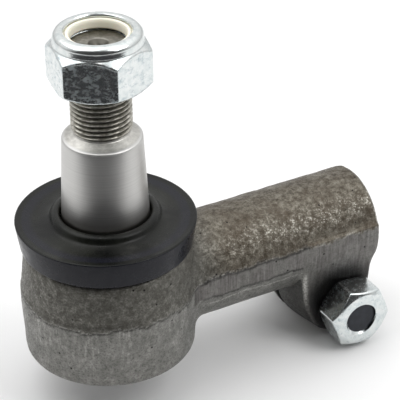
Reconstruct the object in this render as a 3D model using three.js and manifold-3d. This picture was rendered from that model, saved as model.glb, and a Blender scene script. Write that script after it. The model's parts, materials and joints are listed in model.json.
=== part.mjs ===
// Tie rod end: a ball stud with a 1:10 taper in a forged housing, whose threaded shank is
// clamped on to the tie rod by a pinch bolt.
// Millimetres, +Z up along the stud, +X along the shank towards its open end.
// The origin is the centre of the closing cover's outer face, on the stud axis.
import * as THREE from 'three';
import Module from 'manifold-3d';
import { mergeVertices } from 'three/addons/utils/BufferGeometryUtils.js';

const wasm = await Module();
wasm.setup();

// Clearances and facet counts
const GAP = 0.3;            // between pieces that touch on the real object
const ROUND = 40;           // facets round the large turned pieces
const SMALL = 24;           // facets round the small ones
const PAST = 2;             // how far a cutter runs past the face that it opens

// Ball joint
const BALL_R = 16;
const BALL_Z = 23;
const BALL_FLAT_Z = 10.2;   // the flat at the ball's lower pole
const NECK_R = 10.5;
const NECK_TOP_Z = 37;

// Stud above the neck
const CONE_LOW_Z = 44;
const CONE_TOP_Z = 72;
const CONE_TOP_R = 11.87;
const CONE_SLOPE = 1 / 20;  // radius per length: a 1:10 taper on diameter
const THREAD_R = 9;         // M18 x 1.5
const THREAD_FIT = 0.15;    // half of the gap between a thread and its nut
const THREAD_LOW_Z = 75;
const UNDERCUT_R = 8.1;
const STUD_TOP_Z = 101.7;

// Housing
const HOUSING_R = 26.7;
const HOUSING_TOP_Z = 35.4;
const BORE_R = 21.5;
const BORE_TOP_Z = 32.5;
const OPENING_LOW_R = 15;
const OPENING_TOP_R = 16.6;
const GROOVE_R = 23.1;
const GROOVE_Z = [0.8, 2.6];

// Shank
const SHANK_R = 16.2;
const SHANK_Z = 17.65;
const SHANK_END_X = 88.5;
const SHANK_BORE_R = 11.7;  // M24 x 1.5, between the crests and the roots
const SHANK_BORE_X = 40;
const SHANK_TIP_X = 33.5;

// Pinch clamp
const BOLT_X = 76.3;
const BOLT_Z = -4.1;
const BOLT_R = 6;           // M12
const BOLT_HOLE_R = 6.5;
const LUG_HALF = 15.5;
const SLIT_WIDTH = 3;
const SLIT_X = 52;
const CLAMP_NUT_TALL = 10.5;
const CLAMP_FLATS = 19;
const CLAMP_NUT_TURN = -8.8; // degrees from +X to a corner
const BOLT_HEAD_TALL = 7.5;
const BOLT_SHORT = 0.6;     // how far its end stops inside the nut

// Lock nut
const LOCK_NUT_Z = 89;
const LOCK_FLATS = 27;
const LOCK_HEX_TALL = 12.6;
const LOCK_COLLAR_TALL = 16.9;
const LOCK_TURN = -37;      // degrees from +X to a corner
const POCKET_R = 10.6;
const POCKET_LOW_Z = 101.6;
const LIP_R = 9.6;
const LIP_LOW_Z = 104.9;
const INSERT_R = 8.06;

// Dust seal
const SEAL_R = 27.2;
const SEAL_TOP_Z = 44.6;
const SEAL_LIP_TOP_Z = 46.9;
const SEAL_HOLE_R = 13.6;
const LIP_RING_R = 15.6;
const LIP_RING_Z = 42.2;
const LIP_RING_WIRE_R = 0.8;

// --- Solids ---------------------------------------------------------------------------

// A three.js geometry as a manifold-3d solid: shared vertices merged, empty triangles dropped.
function solid(geometry) {
  const bare = geometry.clone();
  bare.deleteAttribute('normal');
  bare.deleteAttribute('uv');
  const merged = mergeVertices(bare, 1e-4);
  const index = merged.index.array;
  const triVerts = [];
  for (let i = 0; i < index.length; i += 3) {
    const [a, b, c] = [index[i], index[i + 1], index[i + 2]];
    if (a !== b && b !== c && c !== a) {
      triVerts.push(a, b, c);
    }
  }
  const vertProperties = new Float32Array(merged.attributes.position.array);
  const mesh = new wasm.Mesh({ numProp: 3, vertProperties, triVerts: new Uint32Array(triVerts) });
  return new wasm.Manifold(mesh);
}

// A solid back as a three.js geometry.
function geometryOf(manifold) {
  const mesh = manifold.getMesh();
  const geometry = new THREE.BufferGeometry();
  geometry.setAttribute('position', new THREE.BufferAttribute(mesh.vertProperties, 3));
  geometry.setIndex(new THREE.BufferAttribute(mesh.triVerts, 1));
  geometry.computeVertexNormals();
  return geometry;
}

// A profile of [radius, height] points, turned about Z. The points run anticlockwise round
// the section, seen with the radius to the right and Z up.
function turned(profile, facets = ROUND) {
  const points = profile.map(([r, z]) => new THREE.Vector2(r, z));
  return solid(new THREE.LatheGeometry(points, facets).rotateX(Math.PI / 2));
}

// The same, closed on itself: a ring.
function ring(profile, facets = ROUND) {
  return turned([...profile, profile[0]], facets);
}

// Points on an arc about [r, z], from one angle to another in degrees from +radius.
function arc([r, z], radius, from, to, steps) {
  const points = [];
  for (let i = 0; i <= steps; i += 1) {
    const angle = THREE.MathUtils.degToRad(from + (to - from) * i / steps);
    points.push([r + radius * Math.cos(angle), z + radius * Math.sin(angle)]);
  }
  return points;
}

// A turned solid laid along X, or along -Y: its Z axis becomes that axis.
function alongX(manifold, z) {
  return manifold.rotate([0, 90, 0]).translate([0, 0, z]);
}

function alongMinusY(manifold, x, z) {
  return manifold.rotate([90, 0, 0]).translate([x, 0, z]);
}

// A hexagonal prism from z = 0, corners chamfered at the ends that chamfer names.
function hexagon(flats, tall, turn, chamfer) {
  const corner = flats / Math.sqrt(3);
  const outline = new THREE.Shape();
  for (let i = 0; i < 6; i += 1) {
    const angle = THREE.MathUtils.degToRad(turn + 60 * i);
    const point = [corner * Math.cos(angle), corner * Math.sin(angle)];
    if (i === 0) {
      outline.moveTo(...point);
    } else {
      outline.lineTo(...point);
    }
  }
  outline.closePath();
  const prism = solid(new THREE.ExtrudeGeometry(outline, { depth: tall, bevelEnabled: false }));
  const low = flats / 2 * 0.97;
  const reach = corner + PAST;
  const drop = (reach - low) * Math.tan(Math.PI / 6);
  const bottom = chamfer.bottom ? [[low, 0], [reach, drop]] : [[reach, 0]];
  const top = chamfer.top ? [[reach, tall - drop], [low, tall]] : [[reach, tall]];
  return prism.intersect(turned([[0, 0], ...bottom, ...top, [0, tall]]));
}

// --- Materials ------------------------------------------------------------------------

function finish(color, roughness, metalness) {
  return new THREE.MeshStandardMaterial({ color, roughness, metalness });
}

const forged = () => finish(0x5d5750, 0.62, 0.8);
const ground = () => finish(0xb4b2ae, 0.28, 1);
const zinc = () => finish(0xc9ccd0, 0.3, 1);
const hardened = () => finish(0x6c6e72, 0.4, 1);
const spring = () => finish(0x3c3e42, 0.45, 0.9);
const rubber = () => finish(0x17181b, 0.6, 0);
const acetal = () => finish(0xd9d6c8, 0.5, 0);
const nylon = () => finish(0xe6dcc0, 0.45, 0);
const blackened = () => finish(0x1d2026, 0.5, 0.6);

// --- Forged housing, shank and clamp lug ------------------------------------------------

function ballHousing() {
  return turned([
    [0, 0], [24.2, 0], [25.6, 0.7], [26.2, 2.4], [26.4, 10], [HOUSING_R, 20],
    [HOUSING_R, 21.6], [26.1, 27.5], [25.5, 31], [25, 34], [24.2, HOUSING_TOP_Z],
    [0, HOUSING_TOP_Z],
  ]);
}

function ballCavity() {
  const [grooveLow, grooveHigh] = GROOVE_Z;
  return turned([
    [0, -PAST], [BORE_R, -PAST], [BORE_R, grooveLow], [GROOVE_R, grooveLow],
    [GROOVE_R, grooveHigh], [BORE_R, grooveHigh], [BORE_R, BORE_TOP_Z],
    [OPENING_LOW_R, BORE_TOP_Z], [OPENING_TOP_R, HOUSING_TOP_Z],
    [OPENING_TOP_R, HOUSING_TOP_Z + PAST], [0, HOUSING_TOP_Z + PAST],
  ]);
}

function shank() {
  const root = 12;
  const bar = turned([
    [0, root], [SHANK_R + 1.6, root], [SHANK_R + 1.6, 27], [SHANK_R, 33],
    [SHANK_R, SHANK_END_X - 1], [SHANK_R - 1, SHANK_END_X], [0, SHANK_END_X],
  ]);
  return alongX(bar, SHANK_Z);
}

// The bore for the tie rod's end, with the cone that the drill leaves.
function shankBore() {
  const mouth = SHANK_BORE_R + 1.2;
  const bore = turned([
    [0, SHANK_TIP_X], [SHANK_BORE_R, SHANK_BORE_X], [SHANK_BORE_R, SHANK_END_X - 1.2],
    [mouth, SHANK_END_X], [mouth, SHANK_END_X + PAST], [0, SHANK_END_X + PAST],
  ], SMALL);
  return alongX(bore, SHANK_Z);
}

// The two ears below the shank, as one block until the slit is sawn.
function lug() {
  const outline = new THREE.Shape();
  outline.moveTo(61.6, SHANK_Z);
  outline.lineTo(60.9, 12);
  outline.lineTo(60.9, 6.3);
  outline.lineTo(61.8, 0.2);
  outline.lineTo(63.7, -5.6);
  outline.lineTo(66.1, -10);
  outline.absarc(BOLT_X, BOLT_Z, 10.9, Math.PI * 1.2, Math.PI * 1.83, false);
  outline.lineTo(85.5, 1);
  outline.lineTo(86.1, 7);
  outline.lineTo(86.7, 10.7);
  outline.lineTo(87.9, SHANK_Z);
  outline.closePath();
  const bevel = 1.1;
  const block = new THREE.ExtrudeGeometry(outline, {
    depth: 2 * (LUG_HALF - bevel),
    bevelEnabled: true,
    bevelSize: bevel,
    bevelOffset: -bevel,
    bevelThickness: bevel,
    bevelSegments: 1,
    curveSegments: 9,
  });
  block.rotateX(Math.PI / 2);
  block.translate(0, LUG_HALF - bevel, 0);
  return solid(block);
}

function slit() {
  const high = SHANK_Z - SHANK_BORE_R + PAST;
  const low = BOLT_Z - 14;
  const long = SHANK_END_X + PAST - SLIT_X;
  const blade = new THREE.BoxGeometry(long, SLIT_WIDTH, high - low);
  blade.translate(SLIT_X + long / 2, 0, (high + low) / 2);
  return solid(blade);
}

function boltHole() {
  const reach = LUG_HALF + PAST;
  const hole = turned([
    [0, -reach], [BOLT_HOLE_R, -reach], [BOLT_HOLE_R, reach], [0, reach],
  ], SMALL);
  return alongMinusY(hole, BOLT_X, BOLT_Z);
}

function forgedHousing() {
  return ballHousing()
    .add(shank())
    .add(lug())
    .subtract(ballCavity())
    .subtract(shankBore())
    .subtract(slit())
    .subtract(boltHole());
}

// --- Pieces inside the housing ------------------------------------------------------------

const SEAT_R = BALL_R + GAP;
const SHELL_R = BORE_R - GAP;
const COVER_LOW_Z = GROOVE_Z[1] + GAP;
const COVER_TOP_Z = COVER_LOW_Z + 1.7;
const SPRING_LOW_Z = COVER_TOP_Z + GAP;
const SPRING_TOP_Z = SPRING_LOW_Z + 2.5;
const SHELL_LOW_Z = SPRING_TOP_Z + GAP;

// The seat above the ball, pressed against the housing's inner shoulder.
function upperBearingShell() {
  const topZ = BORE_TOP_Z - GAP;
  return ring([
    [SHELL_R, BALL_Z - 0.3], [SHELL_R, topZ], [14.3, topZ],
    ...arc([0, BALL_Z], SEAT_R, 33, -1, 5),
  ]);
}

// The seat below the ball, which slides in the bore and is pushed up by the disc spring.
function lowerBearingShell() {
  const topZ = BALL_Z - 0.6;
  const hole = 7;
  const holeAngle = -THREE.MathUtils.radToDeg(Math.acos(hole / SEAT_R));
  return ring([
    [hole, SHELL_LOW_Z], [SHELL_R - 0.8, SHELL_LOW_Z], [SHELL_R, SHELL_LOW_Z + 0.8],
    [SHELL_R, topZ],
    ...arc([0, BALL_Z], SEAT_R, -2, holeAngle, 8),
  ]);
}

function discSpring() {
  const thick = 1.2;
  const [inner, outer] = [8.2, 18.8];
  return ring([
    [outer, SPRING_LOW_Z], [outer, SPRING_LOW_Z + thick],
    [inner, SPRING_TOP_Z], [inner, SPRING_TOP_Z - thick],
  ]);
}

// A round-section ring.
function torus(radius, z, wire) {
  return turned(arc([radius, z], wire, 0, 360, 8));
}

// The pressed steel cover: a flat dish, flush with the housing's rim, in a flange.
function closingCover() {
  const thick = COVER_TOP_Z - COVER_LOW_Z;
  return turned([
    [0, 0], [15.6, 0], [17.1, COVER_LOW_Z], [SHELL_R, COVER_LOW_Z], [SHELL_R, COVER_TOP_Z],
    [16.2, COVER_TOP_Z], [14.7, thick], [0, thick],
  ]);
}

// The internal retaining ring, with an eared gap for the pliers.
function snapRing() {
  const [low, high] = GROOVE_Z;
  const tall = high - low - 2 * 0.2;
  const [inner, outer] = [20.1, GROOVE_R - 0.4];
  const half = THREE.MathUtils.degToRad(11);
  const ends = [Math.PI + half, 3 * Math.PI - half];
  const outline = new THREE.Shape();
  outline.absarc(0, 0, outer, ...ends, false);
  outline.absarc(0, 0, inner, ends[1], ends[0], true);
  outline.closePath();
  const flat = { depth: tall, bevelEnabled: false, curveSegments: 36 };
  let made = solid(new THREE.ExtrudeGeometry(outline, flat));
  const earTurn = 0.06;
  const [earR, eyeR, earsAt] = [2, 0.9, 19.8];
  for (const end of [ends[0] + earTurn, ends[1] - earTurn]) {
    const centre = [earsAt * Math.cos(end), earsAt * Math.sin(end), 0];
    const ear = turned([[0, 0], [earR, 0], [earR, tall], [0, tall]], 16).translate(centre);
    const eye = turned([[0, -1], [eyeR, -1], [eyeR, tall + 1], [0, tall + 1]], 12);
    made = made.add(ear).subtract(eye.translate(centre));
  }
  return made.translate([0, 0, low + 0.2]);
}

// --- Ball stud ------------------------------------------------------------------------

function coneRadius(z) {
  return CONE_TOP_R + (CONE_TOP_Z - z) * CONE_SLOPE;
}

// The ball, neck, ground cone and thread in one piece. The thread is a plain rod here.
function ballStud() {
  const flatAngle = -THREE.MathUtils.radToDeg(Math.asin((BALL_Z - BALL_FLAT_Z) / BALL_R));
  const neckAngle = THREE.MathUtils.radToDeg(Math.acos(NECK_R / BALL_R));
  const rod = THREAD_R - THREAD_FIT;
  const flare = coneRadius(CONE_LOW_Z) - NECK_R;
  return turned([
    [0, BALL_FLAT_Z],
    ...arc([0, BALL_Z], BALL_R, flatAngle, neckAngle, 11),
    [NECK_R, NECK_TOP_Z],
    [NECK_R + 0.1 * flare, NECK_TOP_Z + 2],
    [NECK_R + 0.38 * flare, NECK_TOP_Z + 4.2],
    [NECK_R + 0.75 * flare, NECK_TOP_Z + 6],
    [coneRadius(CONE_LOW_Z), CONE_LOW_Z],
    [CONE_TOP_R, CONE_TOP_Z],
    [CONE_TOP_R - 0.6, CONE_TOP_Z + 0.7],
    [UNDERCUT_R, THREAD_LOW_Z - 1],
    [UNDERCUT_R, THREAD_LOW_Z],
    [rod, THREAD_LOW_Z + 0.7],
    [rod, STUD_TOP_Z - 1],
    [rod - 1, STUD_TOP_Z],
    [2.6, STUD_TOP_Z],
    [0, STUD_TOP_Z - 1.8],
  ]);
}

// --- Nuts, insert and bolt --------------------------------------------------------------

function lockNut() {
  const topZ = LOCK_NUT_Z + LOCK_COLLAR_TALL;
  const hexTopZ = LOCK_NUT_Z + LOCK_HEX_TALL;
  const bore = THREAD_R + THREAD_FIT;
  const collar = turned([
    [0, hexTopZ - 3], [13, hexTopZ - 3], [13, hexTopZ + 0.6], [12.6, hexTopZ + 2.2],
    [11.8, topZ - 1], [10.6, topZ - 0.2], [LIP_R + 0.3, topZ], [0, topZ],
  ]);
  const inside = turned([
    [0, LOCK_NUT_Z - PAST], [bore + 0.9 + PAST, LOCK_NUT_Z - PAST], [bore, LOCK_NUT_Z + 0.9],
    [bore, POCKET_LOW_Z], [POCKET_R, POCKET_LOW_Z], [POCKET_R, LIP_LOW_Z],
    [LIP_R, LIP_LOW_Z], [LIP_R, topZ + PAST], [0, topZ + PAST],
  ]);
  const chamfer = { bottom: true, top: true };
  return hexagon(LOCK_FLATS, LOCK_HEX_TALL, LOCK_TURN, chamfer)
    .translate([0, 0, LOCK_NUT_Z])
    .add(collar)
    .subtract(inside);
}

function nylonInsert() {
  const [low, high] = [STUD_TOP_Z + GAP, LIP_LOW_Z - GAP];
  const outer = POCKET_R - GAP;
  return ring([
    [INSERT_R + 0.4, low], [outer, low], [outer, high], [INSERT_R + 0.3, high],
    [INSERT_R, high - 0.3], [INSERT_R, low + 0.4],
  ]);
}

function clampNut() {
  const bore = BOLT_R + THREAD_FIT;
  const low = LUG_HALF + GAP;
  const hole = turned([
    [0, -PAST], [bore + 0.6 + PAST, -PAST], [bore, 0.6], [bore, CLAMP_NUT_TALL - 0.6],
    [bore + 0.6 + PAST, CLAMP_NUT_TALL + PAST], [0, CLAMP_NUT_TALL + PAST],
  ], SMALL);
  const nut = hexagon(CLAMP_FLATS, CLAMP_NUT_TALL, CLAMP_NUT_TURN, { bottom: true, top: true })
    .subtract(hole)
    .translate([0, 0, low]);
  return alongMinusY(nut, BOLT_X, BOLT_Z);
}

// The bolt's head is on the far ear, and its end shows in the nut.
function clampBolt() {
  const rod = BOLT_R - THREAD_FIT;
  const face = -LUG_HALF - GAP;
  const end = LUG_HALF + GAP + CLAMP_NUT_TALL - BOLT_SHORT;
  const shaft = turned([
    [0, face - 1], [rod, face - 1], [rod, end - 1], [rod - 0.9, end - 0.2], [0, end],
  ], SMALL);
  const head = hexagon(CLAMP_FLATS, BOLT_HEAD_TALL, CLAMP_NUT_TURN, { bottom: true, top: false })
    .translate([0, 0, face - BOLT_HEAD_TALL]);
  return alongMinusY(shaft.add(head), BOLT_X, BOLT_Z);
}

// --- Dust seal ------------------------------------------------------------------------

// A stiff rubber ring: it stands on the housing and its lip closes on the stud.
function dustSeal() {
  const low = HOUSING_TOP_Z + GAP;
  const high = SEAL_TOP_Z;
  const lip = SEAL_LIP_TOP_Z;
  const room = LIP_RING_WIRE_R + GAP;
  const grooveTop = LIP_RING_Z + room;
  return ring([
    [22.4, low], [25.6, low], [26, low + 0.6], [SEAL_R, high - 0.4], [SEAL_R - 0.4, high],
    [24, high - 0.2], [20, high - 0.6], [16.8, high - 0.7],
    [16.2, high], [15.9, lip - 0.7], [15.2, lip], [SEAL_HOLE_R + 0.5, lip],
    [SEAL_HOLE_R, lip - 0.6], [SEAL_HOLE_R, 43], [14, 41.6],
    [LIP_RING_R - room, 41.4], [LIP_RING_R - room, grooveTop],
    [LIP_RING_R + room, grooveTop], [LIP_RING_R + room, 40.6],
    [20.5, 39.8], [22.4, 37.8],
  ]);
}

// --- The assembly -----------------------------------------------------------------------

const pieces = [
  ['forged_housing', forgedHousing(), forged()],
  ['upper_bearing_shell', upperBearingShell(), acetal()],
  ['lower_bearing_shell', lowerBearingShell(), acetal()],
  ['disc_spring', discSpring(), spring()],
  ['cover_o_ring', torus(20.3, SPRING_LOW_Z + 0.8, 0.8), rubber()],
  ['closing_cover', closingCover(), hardened()],
  ['snap_ring', snapRing(), spring()],
  ['ball_stud', ballStud(), ground()],
  ['lock_nut', lockNut(), zinc()],
  ['nylon_insert', nylonInsert(), nylon()],
  ['dust_seal', dustSeal(), rubber()],
  ['seal_lip_ring', torus(LIP_RING_R, LIP_RING_Z, LIP_RING_WIRE_R), spring()],
  ['clamp_bolt', clampBolt(), blackened()],
  ['clamp_nut', clampNut(), zinc()],
];

const tieRodEnd = new THREE.Group();
for (const [name, made, material] of pieces) {
  const mesh = new THREE.Mesh(geometryOf(made), material);
  mesh.name = name;
  tieRodEnd.add(mesh);
}

export default tieRodEnd;
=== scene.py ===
"""Tie rod end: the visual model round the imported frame.

Shapes are worked out in millimetres and written to meshes in metres. Turned pieces are
profiles swept round an axis, with their threads as true helices. The forging, the nuts, the
bolt's head and the snap ring are the zero surfaces of distance fields, so that their edges
carry real radii.
"""
import json
import math

import bpy
import numpy as np
from mathutils import Matrix, Vector, noise


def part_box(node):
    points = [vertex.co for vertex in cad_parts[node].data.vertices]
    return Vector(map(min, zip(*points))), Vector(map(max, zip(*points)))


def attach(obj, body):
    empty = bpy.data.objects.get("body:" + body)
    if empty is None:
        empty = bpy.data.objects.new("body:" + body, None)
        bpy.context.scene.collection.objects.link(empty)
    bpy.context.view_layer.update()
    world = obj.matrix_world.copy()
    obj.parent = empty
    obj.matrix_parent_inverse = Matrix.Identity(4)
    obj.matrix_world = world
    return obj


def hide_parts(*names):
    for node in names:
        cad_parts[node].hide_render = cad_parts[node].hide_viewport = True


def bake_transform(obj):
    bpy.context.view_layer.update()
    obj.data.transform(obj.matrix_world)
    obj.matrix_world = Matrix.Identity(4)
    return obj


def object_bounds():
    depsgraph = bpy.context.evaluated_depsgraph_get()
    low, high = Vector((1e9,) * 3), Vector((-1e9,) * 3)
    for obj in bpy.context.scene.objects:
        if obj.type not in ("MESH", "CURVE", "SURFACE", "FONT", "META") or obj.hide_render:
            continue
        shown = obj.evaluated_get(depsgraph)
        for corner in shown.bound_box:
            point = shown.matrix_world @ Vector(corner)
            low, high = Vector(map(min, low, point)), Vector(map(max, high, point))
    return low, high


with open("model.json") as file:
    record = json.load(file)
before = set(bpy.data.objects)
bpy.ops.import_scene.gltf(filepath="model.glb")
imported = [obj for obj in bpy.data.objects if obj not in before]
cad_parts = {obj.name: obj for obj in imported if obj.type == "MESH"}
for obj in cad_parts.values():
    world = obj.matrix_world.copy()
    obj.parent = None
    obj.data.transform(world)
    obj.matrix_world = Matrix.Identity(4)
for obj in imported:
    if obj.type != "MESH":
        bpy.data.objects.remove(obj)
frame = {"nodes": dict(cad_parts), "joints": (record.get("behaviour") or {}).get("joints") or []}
cad_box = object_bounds()

MM = 0.001


def cad(node):
    """A CAD node's lowest and highest corner, in millimetres."""
    low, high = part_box(node)
    return np.array(low) / MM, np.array(high) / MM


# --- Driving dimensions, from the frame where it holds them -----------------------------

HOUSING_LOW, HOUSING_HIGH = cad("forged_housing")
STUD_LOW, STUD_HIGH = cad("ball_stud")
SEAL_LOW, SEAL_HIGH = cad("dust_seal")
NUT_LOW, NUT_HIGH = cad("lock_nut")
INSERT_LOW, INSERT_HIGH = cad("nylon_insert")
BOLT_LOW, BOLT_HIGH = cad("clamp_bolt")
CLAMP_NUT_LOW, CLAMP_NUT_HIGH = cad("clamp_nut")
COVER_LOW, COVER_HIGH = cad("closing_cover")
SNAP_LOW, SNAP_HIGH = cad("snap_ring")

TILT_JOINT = next(joint for joint in frame["joints"] if joint["name"] == "stud_tilt")
BALL_R = STUD_HIGH[0]
BALL_Z = 1000 * TILT_JOINT["pos_m"][2]
BALL_FLAT_Z = STUD_LOW[2]
NECK_R = 10.5
CONE_LOW_Z, CONE_TOP_Z = 44.0, 72.0
CONE_TOP_R = 11.87
CONE_SLOPE = 1 / 20
THREAD_LOW_Z = CONE_TOP_Z + 2.6

PITCH = 1.5
STUD_THREAD_R = 9.0
STUD_TOP_Z = STUD_HIGH[2]
SHANK_THREAD_R = 12.0
BOLT_THREAD_R = 6.0
BOLT_PITCH = 1.75
THREAD_DEPTH = 0.58         # of the pitch

HOUSING_TOP_Z = SEAL_LOW[2] - 0.3
BORE_R = 21.5
BORE_TOP_Z = 32.5
OPENING_R = (15.0, 16.6)    # below and above
GROOVE_R = 23.1
GROOVE_Z = (0.8, 2.6)

SHANK_R = 16.2
SHANK_Z = 17.65
SHANK_START_X = 4.0         # inside the housing
SHANK_END_X = HOUSING_HIGH[0]
SHANK_BORE_X = 40.0
SHANK_TIP_X = 33.5
TRIM_Z = (15.0, 21.6)       # the band that the trimming die leaves at the parting line
TRIM_Y = 16.25

BOLT_X = (BOLT_LOW[0] + BOLT_HIGH[0]) / 2
BOLT_Z = (BOLT_LOW[2] + BOLT_HIGH[2]) / 2
BOLT_HOLE_R = 6.5
SLIT_X = 52.0
SLIT_WIDTH = 3.0

CLAMP_FLATS = 19.0
CLAMP_TURN = -8.8           # degrees from +X to a corner
BOLT_HEAD_TALL = 7.5
LOCK_FLATS = 27.0
LOCK_TURN = -37.0
LOCK_HEX_TALL = 13.1
LOCK_CROWN = (0.67, 0.742)  # the way that the chamfers face, outwards and along the axis
LOCK_SKIRT = (0.5, 0.866)
LOCK_COLLAR_R = 12.95
LOCK_ROLL_R = 2.1           # the collar's rolled edge
LOCK_THREAD_TOP_Z = 101.6
INSERT_POCKET_R = 10.6
INSERT_POCKET_TOP_Z = 104.6
INSERT_BORE_R = 8.06


# --- Profiles ------------------------------------------------------------------------------

def arc(centre, radius, start, end, steps):
    """Points on an arc in the section, angles in degrees from +radius."""
    angles = np.radians(np.linspace(start, end, steps + 1))
    return [(centre[0] + radius * math.cos(a), centre[1] + radius * math.sin(a)) for a in angles]


def filleted(points, steps=5):
    """A polyline of (r, z) or (r, z, fillet) points, with each fillet as an arc."""
    made = []
    for i, point in enumerate(points):
        at = np.array(point[:2], float)
        fillet = point[2] if len(point) == 3 else 0
        if fillet == 0 or i in (0, len(points) - 1):
            made.append(tuple(at))
            continue
        before = np.array(points[i - 1][:2], float) - at
        after = np.array(points[i + 1][:2], float) - at
        reach = min(fillet, 0.48 * np.linalg.norm(before), 0.48 * np.linalg.norm(after))
        start = at + before / np.linalg.norm(before) * reach
        end = at + after / np.linalg.norm(after) * reach
        for t in np.linspace(0, 1, steps + 1):
            made.append(tuple((1 - t) ** 2 * start + 2 * t * (1 - t) * at + t ** 2 * end))
    return made


def thread_radius(theta, z, crest, pitch):
    """The radius of a right-hand thread with rounded crests and roots."""
    phase = np.mod(z / pitch - theta / (2 * np.pi), 1.0)
    away = np.abs(phase - 0.5) * 2
    ramp = np.clip((away - 0.12) / 0.7, 0, 1)
    return crest - THREAD_DEPTH * pitch * ramp * ramp * (3 - 2 * ramp)


def threaded(crest, pitch, low, high):
    """A shape function for turned(): the thread between two heights, faded at both ends."""
    def shape(theta, r, z):
        fade = np.clip((z - low) / pitch, 0, 1) * np.clip((high - z) / pitch, 0, 1)
        cut = crest - thread_radius(theta, z, crest, pitch)
        return np.where(fade > 0, np.minimum(r, crest - cut * fade), r)
    return shape


def rows(r, low, high, pitch):
    """Profile points up a plain stretch, close enough for a thread."""
    count = int(round((high - low) / pitch * 10))
    return [(r, z) for z in np.linspace(low, high, count + 1)]


# --- Meshes --------------------------------------------------------------------------------

def mesh_object(name, points, faces, sharp=32.0):
    """A smooth-shaded mesh from millimetre points, with edges over the sharp angle kept crisp."""
    mesh = bpy.data.meshes.new(name)
    mesh.from_pydata((np.asarray(points, float) * MM).tolist(), [], faces)
    mesh.validate()
    mesh.polygons.foreach_set("use_smooth", np.ones(len(mesh.polygons), bool))
    mesh.set_sharp_from_angle(angle=math.radians(sharp))
    made = bpy.data.objects.new(name, mesh)
    bpy.context.scene.collection.objects.link(made)
    return made


def turned(name, profile, facets=128, shape=None, place=None, sharp=32.0):
    """A profile swept round Z. It starts and ends on the axis, or closes on itself."""
    profile = np.array(profile, float)
    loop = np.allclose(profile[0], profile[-1])
    if loop:
        profile = profile[:-1]
    first, last = profile[0], profile[-1]
    if not loop:
        profile = profile[1:-1]
    theta = np.linspace(0, 2 * np.pi, facets, endpoint=False)
    r = np.repeat(profile[:, :1], facets, 1)
    z = np.repeat(profile[:, 1:], facets, 1)
    if shape:
        r = shape(theta[None, :], r, z)
    points = np.stack([r * np.cos(theta), r * np.sin(theta), z], -1).reshape(-1, 3)
    count = len(profile)
    faces = []
    for i in range(count if loop else count - 1):
        low, high = i * facets, (i + 1) % count * facets
        for j in range(facets):
            k = (j + 1) % facets
            faces.append((low + j, low + k, high + k, high + j))
    if not loop:
        poles = np.array([[0, 0, first[1]], [0, 0, last[1]]])
        points = np.concatenate([points, poles])
        bottom, top = count * facets, count * facets + 1
        for j in range(facets):
            k = (j + 1) % facets
            faces.append((bottom, k, j))
            faces.append((top, (count - 1) * facets + j, (count - 1) * facets + k))
    if place is not None:
        points = points @ np.array(place)[:3, :3].T + np.array(place)[:3, 3]
    return mesh_object(name, points, faces, sharp)


def mesh_points(piece):
    """A piece's points in millimetres."""
    flat = np.empty(3 * len(piece.data.vertices))
    piece.data.vertices.foreach_get("co", flat)
    return flat.reshape(-1, 3) / MM


def mark(piece, name, values):
    """Stores a value at each point, for the material to read."""
    attribute = piece.data.attributes.new(name, "FLOAT", "POINT")
    attribute.data.foreach_set("value", np.asarray(values, np.float32))


def along_x(z):
    """The placement that lays a turned piece's axis along +X at that height."""
    return Matrix.Translation((0, 0, z)) @ Matrix.Rotation(math.pi / 2, 4, "Y")


def along_minus_y(x, z):
    """The placement that lays a turned piece's axis along -Y."""
    return Matrix.Translation((x, 0, z)) @ Matrix.Rotation(math.pi / 2, 4, "X")


# --- Distance fields --------------------------------------------------------------------

def smooth_max(a, b, k):
    """The larger of two fields, blended over k: an edge with a radius."""
    h = np.clip(0.5 + 0.5 * (a - b) / k, 0, 1)
    return a * h + b * (1 - h) + k * h * (1 - h)


def smooth_min(a, b, k):
    """The smaller of two fields, blended over k: a corner with a fillet."""
    return -smooth_max(-a, -b, k)


def polygon_field(u, v, corners):
    """Signed distance to a closed polygon, negative inside."""
    corners = np.array(corners, float)
    nearest = np.full(u.shape, 1e9)
    inside = np.zeros(u.shape, bool)
    for a, b in zip(corners, np.roll(corners, -1, 0)):
        edge = b - a
        t = np.clip(((u - a[0]) * edge[0] + (v - a[1]) * edge[1]) / (edge @ edge), 0, 1)
        gap = np.hypot(u - a[0] - t * edge[0], v - a[1] - t * edge[1])
        nearest = np.minimum(nearest, gap)
        crosses = (a[1] > v) != (b[1] > v)
        if a[1] != b[1]:
            at = a[0] + (v - a[1]) / (b[1] - a[1]) * edge[0]
            inside ^= crosses & (u < at)
    return np.where(inside, -nearest, nearest)


def hexagon_field(u, v, flats, turn, k):
    """A hexagon with rounded corners, its first corner turn degrees from +u."""
    made = None
    for i in range(6):
        angle = math.radians(turn + 30 + 60 * i)
        side = u * math.cos(angle) + v * math.sin(angle) - flats / 2
        made = side if made is None else smooth_max(made, side, k)
    return made


def cells_of(axis, array, offsets, shape):
    """The part of an edge array that each cell sees at an offset across the edge."""
    cut = [slice(None)] * 3
    others = [d for d in range(3) if d != axis]
    for d, offset in zip(others, offsets):
        cut[d] = slice(offset, offset + shape[d])
    return array[tuple(cut)]


def edge_crossings(value, axis):
    """The grid edges along an axis that the surface crosses, how far along, and which start inside."""
    size = value.shape[axis]
    a = np.take(value, range(size - 1), axis)
    b = np.take(value, range(1, size), axis)
    crossed = (a < 0) != (b < 0)
    share = np.where(crossed, a / np.where(crossed, a - b, 1), 0)
    return crossed, share, a < 0


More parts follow.
